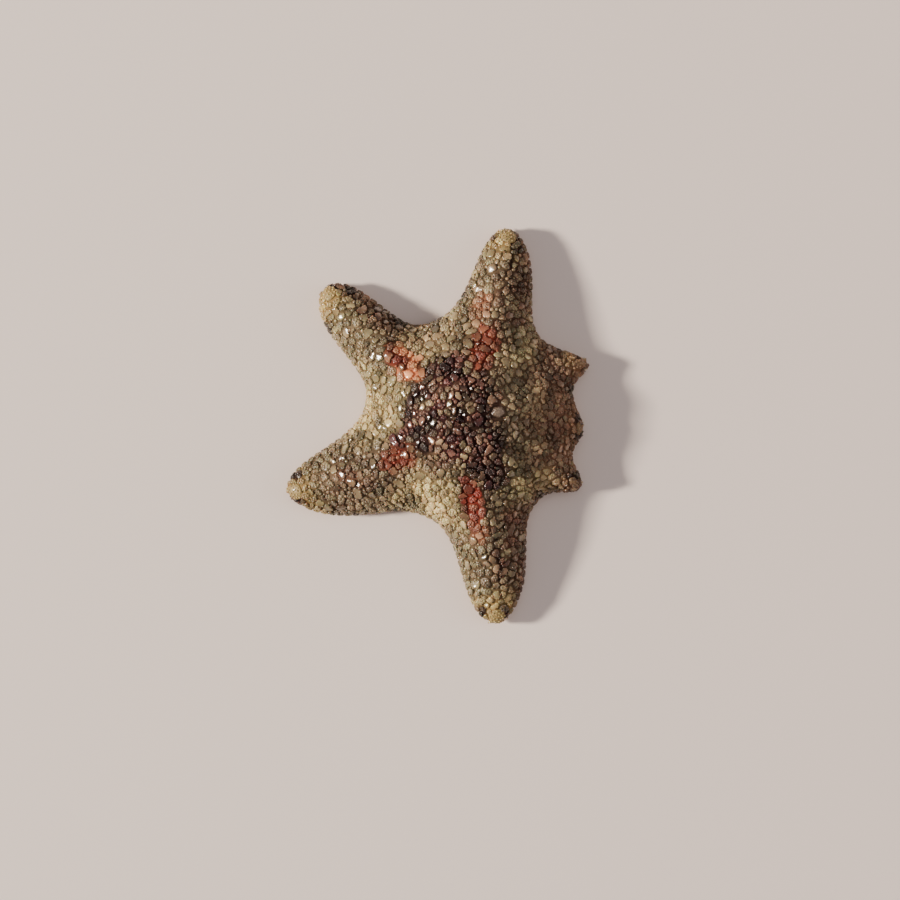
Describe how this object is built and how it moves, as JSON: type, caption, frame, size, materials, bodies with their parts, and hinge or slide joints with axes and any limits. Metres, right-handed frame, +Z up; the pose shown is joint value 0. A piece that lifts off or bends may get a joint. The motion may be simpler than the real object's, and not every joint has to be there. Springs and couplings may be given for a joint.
{
  "type": "starfish",
  "caption": "Small cushion star lying mouth down: a domed disc with grown rays on one side and short regrowing ones on the other.",
  "frame": {"origin": "on the floor, under the middle of the bounding box", "axes": "+Z up with the mouth down; +Y along the longest reach, towards the first grown ray's tip; +X towards the regrowing rays"},
  "size_m": [0.0084, 0.011, 0.0025],
  "materials": {
    "disc_skin": "wet skin over close calcite plates, dark maroon with orange patches",
    "ray_skin": "wet skin over close calcite plates, olive brown",
    "tip_plate": "pale smooth calcite, wet",
    "sieve_plate": "pale furrowed calcite, wet",
    "mouth_skin": "pale soft membrane, wet"
  },
  "bodies": {
    "root": {"disc": "disc_skin", "mouth": "mouth_skin", "madreporite": "sieve_plate", "ray_1": "ray_skin", "ray_2": "ray_skin", "ray_3": "ray_skin", "ray_4": "ray_skin", "ray_5": "ray_skin", "ray_6": "ray_skin", "ray_7": "ray_skin", "terminal_plate_1": "tip_plate", "terminal_plate_2": "tip_plate", "terminal_plate_3": "tip_plate", "terminal_plate_4": "tip_plate", "terminal_plate_5": "tip_plate", "terminal_plate_6": "tip_plate", "terminal_plate_7": "tip_plate"}
  },
  "joints": []
}
